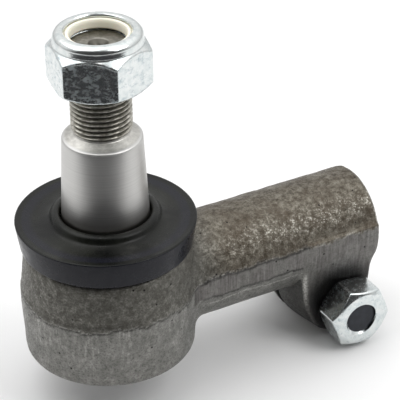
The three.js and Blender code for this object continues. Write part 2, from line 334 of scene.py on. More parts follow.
def net_quads(crossed, starts_inside, axis, number):
    """One quad round each crossed edge along an axis, from the numbers of its four cells."""
    b, c = [d for d in range(3) if d != axis]
    where = np.argwhere(crossed)
    kept = where[:, b] > 0
    kept &= where[:, c] > 0
    kept &= where[:, b] < number.shape[b]
    kept &= where[:, c] < number.shape[c]
    where = where[kept]
    ring = []
    for db, dc in ((1, 1), (0, 1), (0, 0), (1, 0)):
        cell = where.copy()
        cell[:, b] -= db
        cell[:, c] -= dc
        ring.append(number[tuple(cell.T)])
    quads = np.stack(ring, -1)
    flip = starts_inside[tuple(where.T)]
    if axis == 1:
        flip = ~flip
    quads[~flip] = quads[~flip][:, ::-1]
    return quads


def surface_net(field, low, high, step):
    """The zero surface of a field as quads: one point for each grid cell that it crosses."""
    axes = [np.arange(a, b + step, step) for a, b in zip(low, high)]
    grid = np.stack(np.meshgrid(*axes, indexing="ij"), -1)
    value = field(grid.reshape(-1, 3)).reshape(grid.shape[:3])
    shape = tuple(n - 1 for n in value.shape)
    total = np.zeros(shape + (3,))
    count = np.zeros(shape)
    crossings = []
    for axis in range(3):
        crossed, share, starts_inside = edge_crossings(value, axis)
        at = np.take(grid, range(value.shape[axis] - 1), axis).copy()
        at[..., axis] += share * step
        crossings.append((crossed, starts_inside))
        for offsets in ((0, 0), (0, 1), (1, 0), (1, 1)):
            seen = cells_of(axis, crossed, offsets, shape)
            count += seen
            total += cells_of(axis, at, offsets, shape) * seen[..., None]
    used = count > 0
    points = total[used] / count[used][:, None]
    number = np.full(shape, -1)
    number[used] = np.arange(len(points))
    quads = [net_quads(*crossing, axis, number) for axis, crossing in enumerate(crossings)]
    return points, np.concatenate(quads)


def relaxed(points, quads):
    """Each point moved to the mean of its neighbours."""
    total = np.zeros_like(points)
    count = np.zeros(len(points))
    for i in range(4):
        a, b = quads[:, i], quads[:, (i + 1) % 4]
        for here, there in ((a, b), (b, a)):
            np.add.at(total, here, points[there])
            np.add.at(count, here, 1)
    return total / count[:, None]


def gradient(points, field, reach=0.03):
    """The field's gradient by central differences."""
    made = np.zeros_like(points)
    for d in range(3):
        offset = np.zeros(3)
        offset[d] = reach
        made[:, d] = (field(points + offset) - field(points - offset)) / (2 * reach)
    return made


def settled(points, field, step, rounds=3):
    """The points moved on to the field's zero surface."""
    for _ in range(rounds):
        slope = gradient(points, field)
        size = np.maximum((slope ** 2).sum(1), 0.05)
        move = (field(points) / size)[:, None] * slope
        length = np.linalg.norm(move, axis=1)[:, None]
        points = points - move * np.minimum(1, 0.6 * step / np.maximum(length, 1e-9))
    return points


def solid_of(name, field, low, high, step, sharp=40.0, finish=None):
    """A mesh of a field's solid. finish may move the settled points, given their normals."""
    points, quads = surface_net(field, low, high, step)
    for _ in range(2):
        points = settled(relaxed(points, quads), field, step)
    if finish:
        slope = gradient(points, field)
        points = finish(points, slope / np.linalg.norm(slope, axis=1)[:, None])
    return mesh_object(name, points, quads.tolist(), sharp)


def combined(piece, tool, operation):
    """Joins or cuts a piece with a tool, which is used up."""
    modifier = piece.modifiers.new("join", "BOOLEAN")
    modifier.operation = operation
    modifier.solver = "MANIFOLD"
    modifier.object = tool
    graph = bpy.context.evaluated_depsgraph_get()
    mesh = bpy.data.meshes.new_from_object(piece.evaluated_get(graph))
    piece.modifiers.clear()
    old = piece.data
    piece.data = mesh
    bpy.data.meshes.remove(old)
    bpy.data.objects.remove(tool)
    mesh.polygons.foreach_set("use_smooth", np.ones(len(mesh.polygons), bool))
    mesh.set_sharp_from_angle(angle=math.radians(32))
    return piece


def noise_at(points, size, octaves=1, seed=0.0):
    """Noise from -1 to 1 at millimetre points, its features size mm across."""
    shift = Vector((seed, 2 * seed, 3 * seed))
    return np.array([
        noise.fractal(Vector(p) / size + shift, 1.0, 2.0, octaves) if octaves > 1
        else noise.noise(Vector(p) / size + shift)
        for p in points
    ])


# --- The forging ---------------------------------------------------------------------------

HOUSING_SIDE = [            # (height, radius)
    (-2, 26.0), (3, 26.2), (10, 26.45), (16, 26.75), (21, 26.85), (21.8, 26.75),
    (22.3, 26.45), (27.5, 25.95), (31, 25.5), (37, 24.8),
]
LUG_OUTLINE = [             # (x, z)
    (61.7, 24.0), (61.1, 16.9), (60.8, 12.0), (60.9, 6.3), (61.7, 0.2), (63.6, -5.4),
    (65.9, -9.6), (68.2, -12.2), (71.3, -14.2), (75.0, -15.1), (78.8, -14.8),
    (82.0, -13.4), (84.4, -10.8), (85.6, -7.0), (85.6, 1.0), (86.1, 7.0), (86.9, 10.7),
    (87.9, 14.0), (88.4, 18.0), (88.4, 24.0),
]
LUG_EDGE = np.array(LUG_OUTLINE[6:0:-1])    # its side towards the ball, from the bottom up
LUG_HALF_WIDTH = 16.2
LUG_DRAFT = 0.031           # how much narrower each side is for each mm down
LUG_BULGE = 2.6             # how far the side towards the ball swells at mid-width
EDGE_BEAD_R = 0.55          # the flash left on the ears' upright edges
EDGE_BEAD_INSET = (0.4, 0.65)   # from the ears' edge, along X and across
HOUSING_TOP_ROUND = 2.4
HOUSING_BOTTOM_ROUND = 2.0
SHANK_FILLET = 3.2          # where the shank meets the housing
LUG_FILLET = 2.2            # where the ears meet the shank
SHANK_END_ROUND = 1.5


def housing_field(x, y, z):
    heights, radii = np.array(HOUSING_SIDE).T
    side = np.hypot(x, y) - np.interp(z, heights, radii)
    made = smooth_max(side, z - HOUSING_TOP_Z, HOUSING_TOP_ROUND)
    return smooth_max(made, -z, HOUSING_BOTTOM_ROUND)


def shank_field(x, y, z):
    return np.maximum(np.hypot(y, z - SHANK_Z) - SHANK_R, SHANK_START_X - x)


def lug_half_width(z):
    return LUG_HALF_WIDTH - LUG_DRAFT * np.clip(20 - z, 0, None)


def lug_field(x, y, z):
    towards_ball = np.clip((78 - x) / 14, 0, 1)
    bulge = LUG_BULGE * (1 - (y / 15.5) ** 2) * towards_ball
    outline = polygon_field(x + bulge, z, LUG_OUTLINE)
    made = smooth_max(outline, np.abs(y) - lug_half_width(z), 1.5)
    return np.maximum(made, z - 22)


def wander(x, seed):
    """A ragged edge's offset along the forging."""
    slow = 0.35 * np.sin(x * 0.42 + seed) + 0.25 * np.sin(x * 1.13 + 2 * seed)
    return slow + 0.14 * np.sin(x * 2.9 + seed) + 0.1 * np.sin(x * 5.3 + 3 * seed)


def trim_top(x):
    return TRIM_Z[1] + 0.8 * wander(x, 1.0)


def trim_low(x):
    return TRIM_Z[0] + 0.5 * wander(x, 4.0)


def parting_height(x, y):
    """The height of the upper die's edge, on the housing and along the shank."""
    turn = np.arctan2(y, x)
    round_ball = 20.6 + wander(turn * 24, 2.0) + 0.5 * np.sin(turn * 3)
    along = np.clip((x - 16) / 10, 0, 1)
    return round_ball * (1 - along) + trim_top(x) * along


def trim_field(x, y, z):
    edges = smooth_max(z - trim_top(x), trim_low(x) - z, 0.3)
    return smooth_max(np.abs(y) - TRIM_Y, np.maximum(edges, 18 - x), 0.35)


def lug_edge_distance(x, y, z):
    """The distance to the upright edges of the ears on the side towards the ball."""
    edge_x = np.interp(z, LUG_EDGE[:, 1], LUG_EDGE[:, 0])
    beyond = np.maximum(z - LUG_EDGE[-1, 1] + 0.5, 0) + np.maximum(LUG_EDGE[0, 1] - z, 0)
    from_side = np.abs(y) - lug_half_width(z) + EDGE_BEAD_INSET[1]
    return np.sqrt((x - edge_x - EDGE_BEAD_INSET[0]) ** 2 + from_side ** 2 + beyond ** 2)


def forging_field(p):
    x, y, z = p.T
    made = smooth_min(housing_field(x, y, z), shank_field(x, y, z), SHANK_FILLET)
    made = np.where(x > 50, smooth_min(made, lug_field(x, y, z), LUG_FILLET), made)
    made = smooth_min(made, trim_field(x, y, z), 0.25)
    made = smooth_min(made, lug_edge_distance(x, y, z) - EDGE_BEAD_R, 0.4)
    return smooth_max(made, x - SHANK_END_X, SHANK_END_ROUND)


def smooth_step(low, high, value):
    t = np.clip((value - low) / (high - low), 0, 1)
    return t * t * (3 - 2 * t)


def line_mark(distance, width):
    return np.exp(-(distance / width) ** 2)


def largest(*fields):
    return np.maximum.reduce(fields)


def scored_mark(x, y, z, parting):
    """The flats that the trimming die sheared, and fainter streaks below the parting line."""
    band = (z > trim_low(x)) & (z < trim_top(x)) & (np.abs(y) > 14.8) & (x > 20)
    ears = (x > 61.5) & (z < trim_top(x)) & (np.abs(y) > 14)
    streaked = smooth_step(2, 16, z) * (parting < 0) * (np.hypot(x, y) > 25.4) * (x < 20)
    return np.where(band | ears, 1.0, 0.6 * streaked)


def edge_highlight_mark(x, y, z, parting, on_flank):
    """Painted highlights where rounded edges catch the light: the ears' upright beads, the shank's end
    rim, the line below the trimmed band and the lip above the parting line.
    """
    ridge = line_mark(np.maximum(lug_edge_distance(x, y, z) - EDGE_BEAD_R, 0), 0.2) * (z < 17)
    end = line_mark(x - SHANK_END_X + 0.4, 0.35)
    lower_line = line_mark(z - trim_low(x) + 2.2 - 0.4 * np.sin(x * 0.2), 0.3) * on_flank
    lips = line_mark(parting - 0.35, 0.22) * (np.hypot(x, y) > 25)
    return largest(ridge, 0.8 * end, 0.6 * lower_line, 0.35 * lips)


def painted_shade_mark(x, y, z, parting, on_flank):
    """Painted shade: in the crease below the trimmed band, under the lip at the parting line, a
    painted shadow round the clamp nut offset up and towards the ball, on the ears' shaded face towards
    the ball, in the ball's chamber and in the roots of the bore's thread.
    """
    from_axis = np.hypot(x, y)
    crease = line_mark(z - trim_low(x) + 0.1, 0.3) * on_flank
    seam = line_mark(parting + 0.1, 0.3) * (from_axis > 25) * (x < 62)
    # A painted shadow of the clamp nut, centred up and towards the ball from the bolt
    from_bolt = np.hypot(x - BOLT_X + 2.0, z - BOLT_Z - 2.0)
    nut_shadow = (1 - smooth_step(9.0, 18.0, from_bolt)) * (y < -13)
    recess = (x > 40) & (x < 66) & (np.abs(y) < 14.6) & (z < 12) & (lug_field(x, y, z) < 1)
    painted_shade = largest(0.9 * crease, 0.75 * seam, 0.97 * nut_shadow, 0.65 * recess)
    in_chamber = (from_axis < GROOVE_R) & (z < 30)
    painted_shade = np.where(in_chamber, 0.4, painted_shade)
    from_shank = np.hypot(y, z - SHANK_Z)
    in_bore = (from_shank < SHANK_THREAD_R + 0.4) & (x > SHANK_BORE_X - 2)
    return np.where(in_bore, 0.1 + 0.7 * smooth_step(11.2, 11.9, from_shank), painted_shade)


def forging_marks(points):
    """Where the skin differs, from 0 to 1, for the relief and for the material. Three of the marks are
    painted light and shade: painted glints, painted edge highlights and painted shade.
    """
    x, y, z = points.T
    parting = z - parting_height(x, y)
    on_flank = (np.abs(y) > 13.5) & (x > 24) & (x < 60)
    around = np.degrees(np.arctan2(np.abs(y), z - SHANK_Z))
    return {
        "below": 1 - smooth_step(-0.12, 0.12, parting),
        "scored": scored_mark(x, y, z, parting),
        # painted highlights on edges that catch the light
        "edge_highlight": edge_highlight_mark(x, y, z, parting, on_flank),
        # where glints are painted: a band round the shank about 48 degrees from the top, where the
        # light catches it, and faintly on the housing
        "glint_band": line_mark(around - 48, 13) * smooth_step(28, 44, x) + 0.15 * (x < 30),
        "brown": smooth_step(22, 36, x),
        # painted shade
        "painted_shade": painted_shade_mark(x, y, z, parting, on_flank),
    }


def forging_skin(points, normals):
    """The hammered skin's relief, and the upright scores of the trimming die."""
    marks = forging_marks(points)
    smoothed = np.maximum(marks["below"] * 0.6, marks["scored"])
    hammered = 0.16 * noise_at(points, 6.0, 2, 1.0) + 0.1 * noise_at(points, 1.7, 2, 5.0)
    scores = points * np.array([1.0, 1.0, 0.07])
    sheared = 0.07 * noise_at(points, 9.0, 1, 2.0) + 0.04 * noise_at(scores, 0.9, 1, 8.0)
    ends = points[:, 0] > SHANK_END_X - 0.4
    relief = np.where(ends, 0, hammered * (1 - smoothed) + sheared * smoothed)
    # The surface also sinks a little under the painted shade.
    relief -= 0.16 * marks["painted_shade"] * (points[:, 0] < 60)
    return points + normals * relief[:, None]


def cavity_profile():
    low, high = GROOVE_Z
    return filleted([
        (0, -3), (BORE_R + 0.5, -3), (BORE_R + 0.5, -0.2), (BORE_R, 0.4), (BORE_R, low),
        (GROOVE_R, low), (GROOVE_R, high), (BORE_R, high), (BORE_R, BORE_TOP_Z, 0.8),
        (OPENING_R[0], BORE_TOP_Z), (OPENING_R[1], HOUSING_TOP_Z - 0.6),
        (OPENING_R[1] + 1.5, HOUSING_TOP_Z + 1.5), (0, HOUSING_TOP_Z + 1.5),
    ])


def shank_bore():
    """The tool for the shank's bore: drill cone, M24 thread and mouth chamfer."""
    mouth = SHANK_THREAD_R + 0.6
    runs = rows(SHANK_THREAD_R, SHANK_BORE_X, SHANK_END_X - 0.9, PITCH)
    profile = [
        (0, SHANK_TIP_X), (SHANK_THREAD_R - 0.9, SHANK_BORE_X - 0.5), *runs,
        (mouth, SHANK_END_X + 0.05), (mouth, SHANK_END_X + 3), (0, SHANK_END_X + 3),
    ]
    shape = threaded(SHANK_THREAD_R, PITCH, SHANK_BORE_X - PITCH, SHANK_END_X + PITCH)
    return turned("shank_bore_tool", profile, 112, shape, along_x(SHANK_Z))


def slit_tool():
    """The saw cut through the ears, up into the bore."""
    low, high = BOLT_Z - 16, SHANK_Z - SHANK_THREAD_R + 3
    half = SLIT_WIDTH / 2
    corners = [
        (x, y, z) for x in (SLIT_X, SHANK_END_X + 3) for y in (-half, half) for z in (low, high)
    ]
    faces = [(0, 1, 3, 2), (4, 6, 7, 5), (0, 4, 5, 1), (2, 3, 7, 6), (0, 2, 6, 4), (1, 5, 7, 3)]
    return mesh_object("slit_tool", corners, faces)


def bolt_hole_tool():
    reach = 20.0
    profile = [(0, -reach), (BOLT_HOLE_R, -reach), (BOLT_HOLE_R, reach), (0, reach)]
    return turned("bolt_hole_tool", profile, 96, place=along_minus_y(BOLT_X, BOLT_Z))


def make_forging():
    step = 0.56
    low = HOUSING_LOW - 2.0
    high = HOUSING_HIGH + 2.0
    made = solid_of("forged_body", forging_field, low, high, step, 40.0, forging_skin)
    combined(made, turned("cavity_tool", cavity_profile(), 160), "DIFFERENCE")
    combined(made, shank_bore(), "DIFFERENCE")
    combined(made, slit_tool(), "DIFFERENCE")
    combined(made, bolt_hole_tool(), "DIFFERENCE")
    for name, values in forging_marks(mesh_points(made)).items():
        mark(made, name, values)
    return made


# --- Stud, seal, cover and snap ring --------------------------------------------------------

def cone_radius(z):
    return CONE_TOP_R + (CONE_TOP_Z - z) * CONE_SLOPE


def make_stud():
    flat = -math.degrees(math.asin((BALL_Z - BALL_FLAT_Z) / BALL_R))
    neck = math.degrees(math.acos(NECK_R / BALL_R))
    ball = arc((0, BALL_Z), BALL_R, flat, neck, 36)
    neck_top = filleted([
        ball[-1], (NECK_R, 37.5, 3.5), (NECK_R + 0.7, 40.6, 2.5),
        (cone_radius(CONE_LOW_Z), CONE_LOW_Z, 1.2), (cone_radius(CONE_LOW_Z + 2), CONE_LOW_Z + 2),
    ], 8)
    cone = [(cone_radius(z), z) for z in np.linspace(CONE_LOW_Z + 4, CONE_TOP_Z - 1, 12)]
    shoulder = filleted([
        cone[-1], (CONE_TOP_R, CONE_TOP_Z, 0.5), (CONE_TOP_R - 1.1, CONE_TOP_Z + 0.5, 0.5),
        (8.35, CONE_TOP_Z + 1.9, 0.9), (8.3, THREAD_LOW_Z),
    ])
    top = STUD_TOP_Z
    end = filleted([
        (STUD_THREAD_R, top - 0.8), (STUD_THREAD_R - 0.7, top, 0.3), (3.1, top, 0.4),
        (1.7, top - 1.2, 0.3), (0.9, top - 2.2), (0, top - 2.6),
    ])
    lead = [(8.3 + 0.7 * t, THREAD_LOW_Z + 0.7 * t) for t in (0.25, 0.5, 0.75)]
    runs = rows(STUD_THREAD_R, THREAD_LOW_Z + 0.7, top - 0.9, PITCH)
    profile = [(0, BALL_FLAT_Z), *ball, *neck_top[1:], *cone, *shoulder[1:], *lead, *runs, *end]
    shape = threaded(STUD_THREAD_R, PITCH, THREAD_LOW_Z - 0.2, top + PITCH)
    made = turned("stud_body", profile, 160, shape)
    x, y, z = mesh_points(made).T
    depth = np.clip((STUD_THREAD_R - 0.1 - np.hypot(x, y)) / 0.7, 0, 1)
    # Painted shade in the centre drill's dimple and in the thread's roots; the end face is darker
    dimple = smooth_step(-0.2, 0.3, top - z) * (np.hypot(x, y) < 3) * (z > CONE_TOP_Z)
    darker_end = 0.6 * (z > top - 0.4)
    valley = 0.8 * depth * (z > THREAD_LOW_Z) * (z < top - 1.4)
    mark(made, "valley", np.maximum(np.maximum(valley, darker_end), dimple))
    mark(made, "end", 0.5 * (z > CONE_TOP_Z + 0.4) + 0.5 * (z > THREAD_LOW_Z))
    # A brownish band at the cone's foot: heat colouring, and a painted dark reflection of the seal
    mark(made, "foot_tint_and_reflection", 0.8 * line_mark(z - CONE_LOW_Z, 3.6))
    return made


def make_seal():
    low, high = SEAL_LOW[2], SEAL_LOW[2] + 8.9
    lip = SEAL_HIGH[2]
    outer = SEAL_HIGH[0]
    made = turned("seal_body", filleted([
        (22.4, 37.8), (22.4, low), (25.5, low, 0.4), (25.95, low + 0.6, 0.4),
        (outer, high - 0.25, 0.35), (outer - 0.45, high, 0.35), (outer - 1.4, high - 0.15, 0.5),
        (24, high - 0.3, 1.5), (20.5, high - 0.5, 2.0), (18.4, high - 0.35, 1.6),
        (16.9, high + 0.1, 1.2), (16.0, lip - 0.5, 0.9), (15.1, lip, 0.6), (14.2, lip, 0.5),
        (13.55, lip - 0.7, 0.5), (13.6, 44.6, 0.4), (14.3, 43.6, 0.4), (16.7, 43.5),
        (16.7, 40.6), (20.5, 39.8, 1), (22.4, 37.8),
    ]), 192)
    x, y, z = mesh_points(made).T
    # The seal's side is given a bluish colour: a painted reflection
    mark(made, "rim", (np.hypot(x, y) > 22.3) & (z < high - 0.2))
    return made


def make_cover():
    low, high = COVER_LOW[2], COVER_HIGH[2]
    outer = COVER_HIGH[0]
    flange = high - 1.7
    return turned("cover_body", filleted([
        (0, low), (15.6, low, 1.4), (17.1, flange, 0.9), (outer, flange, 0.3),
        (outer, high, 0.5), (16.2, high, 1.2), (14.7, low + 1.7, 0.8), (0, low + 1.7),
    ]), 160)


def snap_field(p):
    x, y, z = p.T
    r = np.hypot(x, y)
    from_gap = np.abs(np.arctan2(y, -x))
    half_gap = math.radians(11)
    band = smooth_max(np.abs(r - 21.4) - 1.3, (half_gap - from_gap) * r, 0.4)
    turn = half_gap + 0.06
    ears = np.hypot(-x - 19.8 * math.cos(turn), np.abs(y) - 19.8 * math.sin(turn))
    made = smooth_min(band, ears - 2, 0.5)
    made = np.maximum(made, 0.9 - ears)
    middle = (SNAP_LOW[2] + SNAP_HIGH[2]) / 2
    half = (SNAP_HIGH[2] - SNAP_LOW[2]) / 2
    return smooth_max(made, np.abs(z - middle) - half, 0.25)


def make_snap_ring():
    return solid_of("snap_body", snap_field, SNAP_LOW - 1, SNAP_HIGH + 1, 0.3)


# --- Nuts, insert and bolt --------------------------------------------------------------------

def lock_nut_field(p):
    x, y, z = p.T
    r = np.hypot(x, y)
    bottom, top = NUT_LOW[2], NUT_HIGH[2]
    hexagon = hexagon_field(x, y, LOCK_FLATS, LOCK_TURN, 0.5)
    crown = (r - LOCK_FLATS / 2) * LOCK_CROWN[0] + (z - (bottom + 12.9)) * LOCK_CROWN[1]
    skirt = (r - LOCK_FLATS / 2 + 0.3) * LOCK_SKIRT[0] - (z - bottom) * LOCK_SKIRT[1]
    body = smooth_max(smooth_max(hexagon, crown, 0.35), skirt, 0.3)
    body = smooth_max(body, np.maximum(bottom - z, z - bottom - LOCK_HEX_TALL), 0.3)
    roll = LOCK_ROLL_R
    past_edge = np.maximum(r - LOCK_COLLAR_R + roll, 0)
    over = np.hypot(past_edge, np.maximum(z - top + roll, 0)) - roll
    collar = np.maximum(over, bottom + 6 - z)
    return smooth_min(body, collar, 0.6)


def nut_relief(points, normals):
    """The slight unevenness of cold-formed faces under the plating."""
    relief = 0.035 * noise_at(points, 5.0, 2, 3.0) + 0.012 * noise_at(points, 1.3, 1, 4.0)
    return points + normals * relief[:, None]


def make_lock_nut():
    low, high = NUT_LOW - 1.2, NUT_HIGH + 1.2
    made = solid_of("lock_nut_body", lock_nut_field, low, high, 0.3, 40.0, nut_relief)
    bottom, top = NUT_LOW[2], NUT_HIGH[2]
    crest = STUD_THREAD_R + 0.12
    profile = filleted([
        (0, bottom - 2), (crest + 2.4, bottom - 2), (crest + 0.4, bottom + 0.6),
        *rows(crest, bottom + 1.0, 101.4, PITCH), (crest, LOCK_THREAD_TOP_Z),
        (INSERT_POCKET_R, LOCK_THREAD_TOP_Z), (INSERT_POCKET_R, INSERT_POCKET_TOP_Z, 0.6),
        (9.6, 104.9, 0.3), (9.6, 105.5, 0.4), (INSERT_POCKET_R, top + 0.6),
        (INSERT_POCKET_R, top + 2), (0, top + 2),
    ])
    shape = threaded(crest, PITCH, bottom - PITCH, LOCK_THREAD_TOP_Z)
    combined(made, turned("lock_nut_tool", profile, 144, shape), "DIFFERENCE")
    mark(made, "handled", mesh_points(made)[:, 2] < bottom + 13.3)
    return made


def make_insert():
    low, high = INSERT_LOW[2], INSERT_HIGH[2]
    outer, inner = INSERT_HIGH[0], INSERT_BORE_R
    return turned("insert_body", filleted([
        (inner, (low + high) / 2), (inner, low + 0.5), (8.5, low), (outer, low, 0.3),
        (outer, high, 0.3), (9.4, high + 0.02), (9.2, high + 0.45, 0.3), (8.5, high + 0.4, 0.4),
        (8.1, high - 0.4, 0.6), (inner, (low + high) / 2),
    ]), 144)


def clamp_axes(p):
    """Across, up and along the clamp bolt, from its axis; along runs towards -Y."""
    x, y, z = p.T
    return x - BOLT_X, z - BOLT_Z, -y


def hex_piece_field(across, up, along, low, high, crown_slope):
    r = np.hypot(across, up)
    made = hexagon_field(across, up, CLAMP_FLATS, CLAMP_TURN, 0.45)
    rim = CLAMP_FLATS / 2 - 0.9
    crown = ((r - rim) * crown_slope + (along - high)) / math.hypot(1, crown_slope)
    skirt = ((r - rim) * crown_slope - (along - low)) / math.hypot(1, crown_slope)
    made = smooth_max(smooth_max(made, crown, 0.3), skirt, 0.3)
    return smooth_max(made, np.maximum(along - high, low - along), 0.3)


def clamp_nut_field(p):
    across, up, along = clamp_axes(p)
    return hex_piece_field(across, up, along, -CLAMP_NUT_HIGH[1], -CLAMP_NUT_LOW[1], 0.6)


def make_clamp_nut():
    low, high = CLAMP_NUT_LOW - 1.2, CLAMP_NUT_HIGH + 1.2
    made = solid_of("clamp_nut_body", clamp_nut_field, low, high, 0.27, 40.0, nut_relief)
    start, end = -CLAMP_NUT_HIGH[1], -CLAMP_NUT_LOW[1]
    crest = BOLT_THREAD_R + 0.1
    profile = [
        (0, start - 2), (crest + 2.6, start - 2), (crest + 0.2, start + 0.7),
        *rows(crest, start + 1.0, end - 1.0, BOLT_PITCH), (crest + 0.2, end - 0.8),
        (crest + 0.95, end + 0.05), (crest + 2.6, end + 2), (0, end + 2),
    ]
    shape = threaded(crest, BOLT_PITCH, start - BOLT_PITCH, end + BOLT_PITCH)
    tool = turned("clamp_nut_tool", profile, 112, shape, along_minus_y(BOLT_X, BOLT_Z))
    combined(made, tool, "DIFFERENCE")
    mark(made, "handled", np.full(len(made.data.vertices), 0.7))
    return made


def bolt_head_field(p):
    across, up, along = clamp_axes(p)
    start = -BOLT_HIGH[1]
    made = hex_piece_field(across, up, -along, -start - BOLT_HEAD_TALL, -start, 0.6)
    dish_r, dish_deep = 6.5, 0.5
    dish = np.hypot(across, up) - dish_r
    return np.maximum(made, -np.maximum(dish, along - start - dish_deep))


def make_bolt():
    low = np.array([BOLT_X - 12.5, BOLT_HIGH[1] - 9, BOLT_Z - 12.5])
    high = np.array([BOLT_X + 12.5, BOLT_HIGH[1] + 1.2, BOLT_Z + 12.5])
    head = solid_of("bolt_body", bolt_head_field, low, high, 0.27, 40.0, nut_relief)
    start, end = -BOLT_HIGH[1] + 5, -BOLT_LOW[1]
    thread_start = 0.0
    profile = [
        (0, start), (BOLT_THREAD_R - 0.1, start), (BOLT_THREAD_R - 0.1, thread_start - 0.4),
        *rows(BOLT_THREAD_R, thread_start, end - 1.0, BOLT_PITCH),
        *filleted([(BOLT_THREAD_R - 0.2, end - 0.8), (BOLT_THREAD_R - 0.5, end - 0.2, 0.4),
                   (4.6, end, 1.0), (0, end)]),
    ]
    shape = threaded(BOLT_THREAD_R, BOLT_PITCH, thread_start, end + 0.6)
    shaft = turned("bolt_shaft", profile, 128, shape, along_minus_y(BOLT_X, BOLT_Z))
    return combined(head, shaft, "UNION")


# --- Materials -----------------------------------------------------------------------------

MIX_INPUTS = (0, 6, 7)      # a colour Mix node's sockets for the share and the two colours
MIX_RESULT = 2


class Surface:
    """A Principled material whose nodes are added by name."""

    def __init__(self, name, metallic, roughness, color=(0.5, 0.5, 0.5), **sockets):
        self.material = bpy.data.materials.new(name)
        self.material.use_nodes = True
        self.nodes = self.material.node_tree.nodes
        self.links = self.material.node_tree.links
        self.shader = self.nodes["Principled BSDF"]
        self.shader.inputs["Metallic"].default_value = metallic
        self.shader.inputs["Roughness"].default_value = roughness
        self.shader.inputs["Base Color"].default_value = (*color, 1)
        for socket, value in sockets.items():
            name = socket.replace("_", " ").title().replace("Ior", "IOR")
            self.shader.inputs[name].default_value = value
        self.place = self.nodes.new("ShaderNodeTexCoord").outputs["Object"]

    def link(self, value, socket):
        self.links.new(value, self.shader.inputs[socket])

    def feed(self, value, socket):
        """Gives a node's socket a link, a colour or a number."""
        if isinstance(value, bpy.types.NodeSocket):
            self.links.new(value, socket)
        else:
            socket.default_value = (*value, 1) if isinstance(value, tuple) else value

    def stretched(self, scale):
        """Object coordinates scaled along each axis."""
        node = self.nodes.new("ShaderNodeMapping")
        node.inputs["Scale"].default_value = scale
        self.links.new(self.place, node.inputs["Vector"])
        return node.outputs["Vector"]

    def noise(self, size, detail=3.0, rough=0.55, scale=None):
        """Noise with features of that size in millimetres."""
        node = self.nodes.new("ShaderNodeTexNoise")
        node.inputs["Scale"].default_value = 1000 / size
        node.inputs["Detail"].default_value = detail
        node.inputs["Roughness"].default_value = rough
        place = self.stretched(scale) if scale else self.place
        self.links.new(place, node.inputs["Vector"])
        return node.outputs["Fac"]

    def speckle(self, size):
        """The distance to the nearest of scattered points, about size mm apart."""
        node = self.nodes.new("ShaderNodeTexVoronoi")
        node.inputs["Scale"].default_value = 1000 / size
        self.links.new(self.place, node.inputs["Vector"])
        return node.outputs["Distance"]

    def attribute(self, name):
        node = self.nodes.new("ShaderNodeAttribute")
        node.attribute_name = name
        return node.outputs["Fac"]

    def ramp(self, value, stops):
        """A colour or grey ramp: stops are (position, colour or grey)."""
        node = self.nodes.new("ShaderNodeValToRGB")
        elements = node.color_ramp.elements
        while len(elements) < len(stops):
            elements.new(0.5)
        for element, (position, color) in zip(elements, stops):
            element.position = position
            grey = (color,) * 3 if isinstance(color, (int, float)) else color
            element.color = (*grey, 1)
        self.links.new(value, node.inputs["Fac"])
        return node.outputs["Color"]

    def mix(self, share, a, b):
        """Colour a where share is 0, and b where it is 1."""
        node = self.nodes.new("ShaderNodeMix")
        node.data_type = "RGBA"
        for index, value in zip(MIX_INPUTS, (share, a, b)):
            self.feed(value, node.inputs[index])
        return node.outputs[MIX_RESULT]

    def times(self, a, b):
        node = self.nodes.new("ShaderNodeMath")
        node.operation = "MULTIPLY"
        self.feed(a, node.inputs[0])
        self.feed(b, node.inputs[1])
        return node.outputs[0]

    def bump(self, height, distance_mm, strength=1.0):
        node = self.nodes.new("ShaderNodeBump")
        node.inputs["Strength"].default_value = strength
        node.inputs["Distance"].default_value = distance_mm * MM
        self.links.new(height, node.inputs["Height"])
        self.link(node.outputs["Normal"], "Normal")


OLIVE_SCALE = [(0.38, (0.09, 0.086, 0.074)), (0.5, (0.125, 0.121, 0.107)),
               (0.62, (0.175, 0.17, 0.153))]
BROWN_SCALE = [(0.38, (0.068, 0.057, 0.042)), (0.5, (0.145, 0.129, 0.103)),
               (0.62, (0.225, 0.208, 0.172))]
GREY_SCALE = [(0.34, (0.16, 0.158, 0.146)), (0.5, (0.225, 0.222, 0.207)),
              (0.66, (0.32, 0.315, 0.296))]
SHEARED_STEEL = [(0.36, (0.11, 0.103, 0.098)), (0.5, (0.15, 0.142, 0.136)),
                 (0.64, (0.2, 0.192, 0.185))]
RUST = (0.082, 0.064, 0.046)
DINT = (0.045, 0.04, 0.032)
# the colour of the painted glints
PAINTED_GLINT = (0.62, 0.6, 0.54)
DULL_GREY = (0.135, 0.134, 0.123)
GREY_DINT = (0.08, 0.08, 0.074)
STREAK = (0.5, 0.493, 0.464)
SHEARED_DULL = (0.09, 0.082, 0.074)
PIT = (0.012, 0.01, 0.01)
# the colour of the painted edge highlights
PAINTED_EDGE_HIGHLIGHT = (0.62, 0.61, 0.575)
# the colour of the painted shade
PAINTED_SHADE_COLOUR = (0.008, 0.0075, 0.0075)


def upper_skin(made, grain, coarse, patches):
    """The hammered skin above the parting line: olive on the housing, brown on the shank, with painted
    glints where the light catches the shank's flank.
    """
    olive = made.ramp(coarse, OLIVE_SCALE)
    brown = made.ramp(coarse, BROWN_SCALE)
    brown = made.mix(made.ramp(patches, [(0.38, 0.6), (0.55, 0.0)]), brown, RUST)
    skin = made.mix(made.attribute("brown"), olive, brown)
    skin = made.mix(made.ramp(grain, [(0.3, 0.55), (0.44, 0.0)]), skin, DINT)
    # Painted glints: bright specks painted along the band where the light catches the shank
    glints = made.ramp(grain, [(0.52, 0.0), (0.62, 1.0)])
    glints = made.times(glints, made.attribute("glint_band"))
    glints = made.times(glints, made.ramp(coarse, [(0.46, 0.0), (0.6, 1.0)]))
    return made.mix(glints, skin, PAINTED_GLINT)


